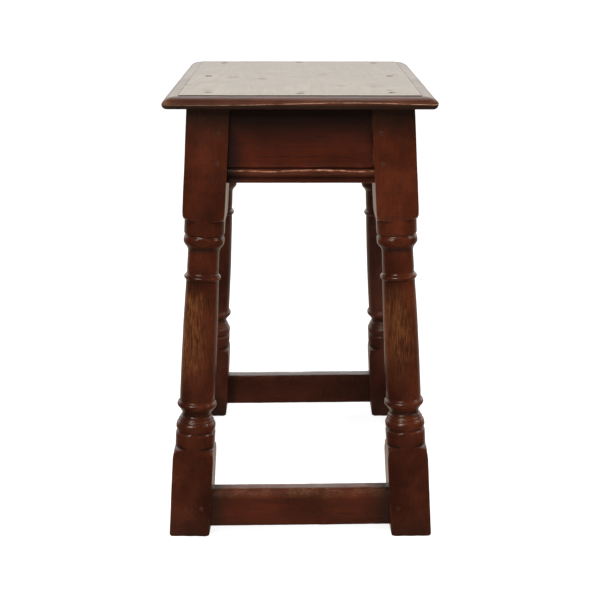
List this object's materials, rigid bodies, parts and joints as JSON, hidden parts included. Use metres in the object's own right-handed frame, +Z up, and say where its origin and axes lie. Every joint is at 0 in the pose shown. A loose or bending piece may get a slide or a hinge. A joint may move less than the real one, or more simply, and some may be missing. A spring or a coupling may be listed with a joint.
{
  "type": "joint stool",
  "caption": "Joint stool with a moulded plank top, splayed turned legs, moulded rails and plain low stretchers, all mortised, tenoned and pegged.",
  "frame": {"origin": "on the floor under the middle of the stool", "axes": "+Z up, X across the narrow ends, Y along the length of the top"},
  "size_m": [0.331, 0.4578, 0.551],
  "materials": {
    "oak_top": "waxed, worn and scratched",
    "oak_legs": "dark red-brown stain, waxed",
    "oak_rails": "dark red-brown stain, waxed",
    "oak_stretchers": "dark red-brown stain, upper arris scuffed by feet",
    "oak_pegs": "end grain, waxed"
  },
  "bodies": {
    "root": {"top_board": "oak_top", "leg_front_left": "oak_legs", "leg_front_right": "oak_legs", "leg_back_left": "oak_legs", "leg_back_right": "oak_legs", "end_rail_front": "oak_rails", "end_rail_back": "oak_rails", "side_rail_left": "oak_rails", "side_rail_right": "oak_rails", "end_stretcher_front": "oak_stretchers", "end_stretcher_back": "oak_stretchers", "side_stretcher_left": "oak_stretchers", "side_stretcher_right": "oak_stretchers", "pegs_end_rail_front": "oak_pegs", "pegs_end_rail_back": "oak_pegs", "pegs_side_rail_left": "oak_pegs", "pegs_side_rail_right": "oak_pegs", "pegs_end_stretcher_front": "oak_pegs", "pegs_end_stretcher_back": "oak_pegs", "pegs_side_stretcher_left": "oak_pegs", "pegs_side_stretcher_right": "oak_pegs", "pegs_top_board": "oak_pegs"}
  },
  "joints": []
}
